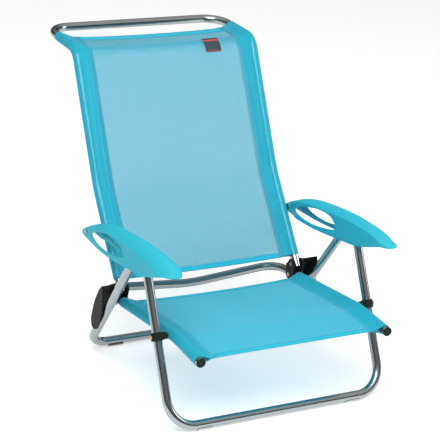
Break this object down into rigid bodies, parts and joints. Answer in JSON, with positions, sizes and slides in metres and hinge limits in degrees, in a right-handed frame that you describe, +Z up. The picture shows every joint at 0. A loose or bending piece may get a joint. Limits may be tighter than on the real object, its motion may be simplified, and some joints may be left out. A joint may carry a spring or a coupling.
{
  "type": "folding beach chair",
  "caption": "Low folding beach chair: tube frames, stretched sling seat and back, moulded armrests, recline racks, coupled fold.",
  "frame": {"origin": "on the ground, under the middle of the chair's outer box", "axes": "+Z up, -Y is the way the sitter faces, +X is the chair's right-hand side in a front view"},
  "size_m": [0.5708, 0.8712, 0.6555],
  "materials": {
    "frame_tube": "satin polished",
    "seat_mesh": "woven mesh",
    "back_mesh": "woven mesh",
    "sleeve_cloth": "woven mesh, doubled",
    "label": "woven patch",
    "black_plastic": "moulded",
    "turquoise_plastic": "moulded",
    "clear_plastic": "moulded",
    "rivet_steel": "turned",
    "rivet_brass": "turned"
  },
  "bodies": {
    "seat": {"seat_frame": "frame_tube", "seat_panel": "seat_mesh", "left_seat_sleeve": "sleeve_cloth", "right_seat_sleeve": "sleeve_cloth", "left_seat_cap": "black_plastic", "right_seat_cap": "black_plastic", "left_rack": "black_plastic", "right_rack": "black_plastic", "rack_rivets": "rivet_steel", "back_pivot_rivets": "rivet_steel"},
    "back": {"back_frame": "frame_tube", "back_panel": "back_mesh", "left_back_sleeve": "sleeve_cloth", "right_back_sleeve": "sleeve_cloth", "back_label": "label", "arm_pivot_rivets": "rivet_steel", "arm_spacers": "black_plastic"},
    "armrests": {"left_armrest": "turquoise_plastic", "right_armrest": "turquoise_plastic"},
    "front_legs": {"front_leg_frame": "frame_tube", "left_leg_clip": "black_plastic", "right_leg_clip": "black_plastic", "leg_pivot_rivets": "rivet_brass", "front_arm_pins": "rivet_steel", "front_foot_pads": "clear_plastic"},
    "rear_legs": {"rear_leg_frame": "frame_tube", "rear_arm_pins": "rivet_steel", "rear_foot_pads": "clear_plastic"}
  },
  "joints": [
    {"name": "back_fold", "type": "hinge", "parent": "seat", "child": "back", "pos_m": [0, -0.043, 0.1802], "axis": [1, 0, 0], "range_deg": [0, 99.5]},
    {"name": "front_leg_fold", "type": "hinge", "parent": "seat", "child": "front_legs", "pos_m": [0, -0.298, 0.1835], "axis": [1, 0, 0], "range_deg": [0, 86.6]},
    {"name": "armrest_fold", "type": "hinge", "parent": "back", "child": "armrests", "pos_m": [0, 0.0433, 0.2884], "axis": [1, 0, 0], "range_deg": [-96.2, 0]},
    {"name": "rear_leg_fold", "type": "hinge", "parent": "armrests", "child": "rear_legs", "pos_m": [0, -0.1837, 0.3216], "axis": [1, 0, 0], "range_deg": [0, 21]}
  ],
  "couplings": [
    {"joint": "front_leg_fold", "follows": "back_fold", "ratio": 0.87},
    {"joint": "armrest_fold", "follows": "back_fold", "ratio": -0.9661},
    {"joint": "rear_leg_fold", "follows": "back_fold", "ratio": 0.2105}
  ]
}
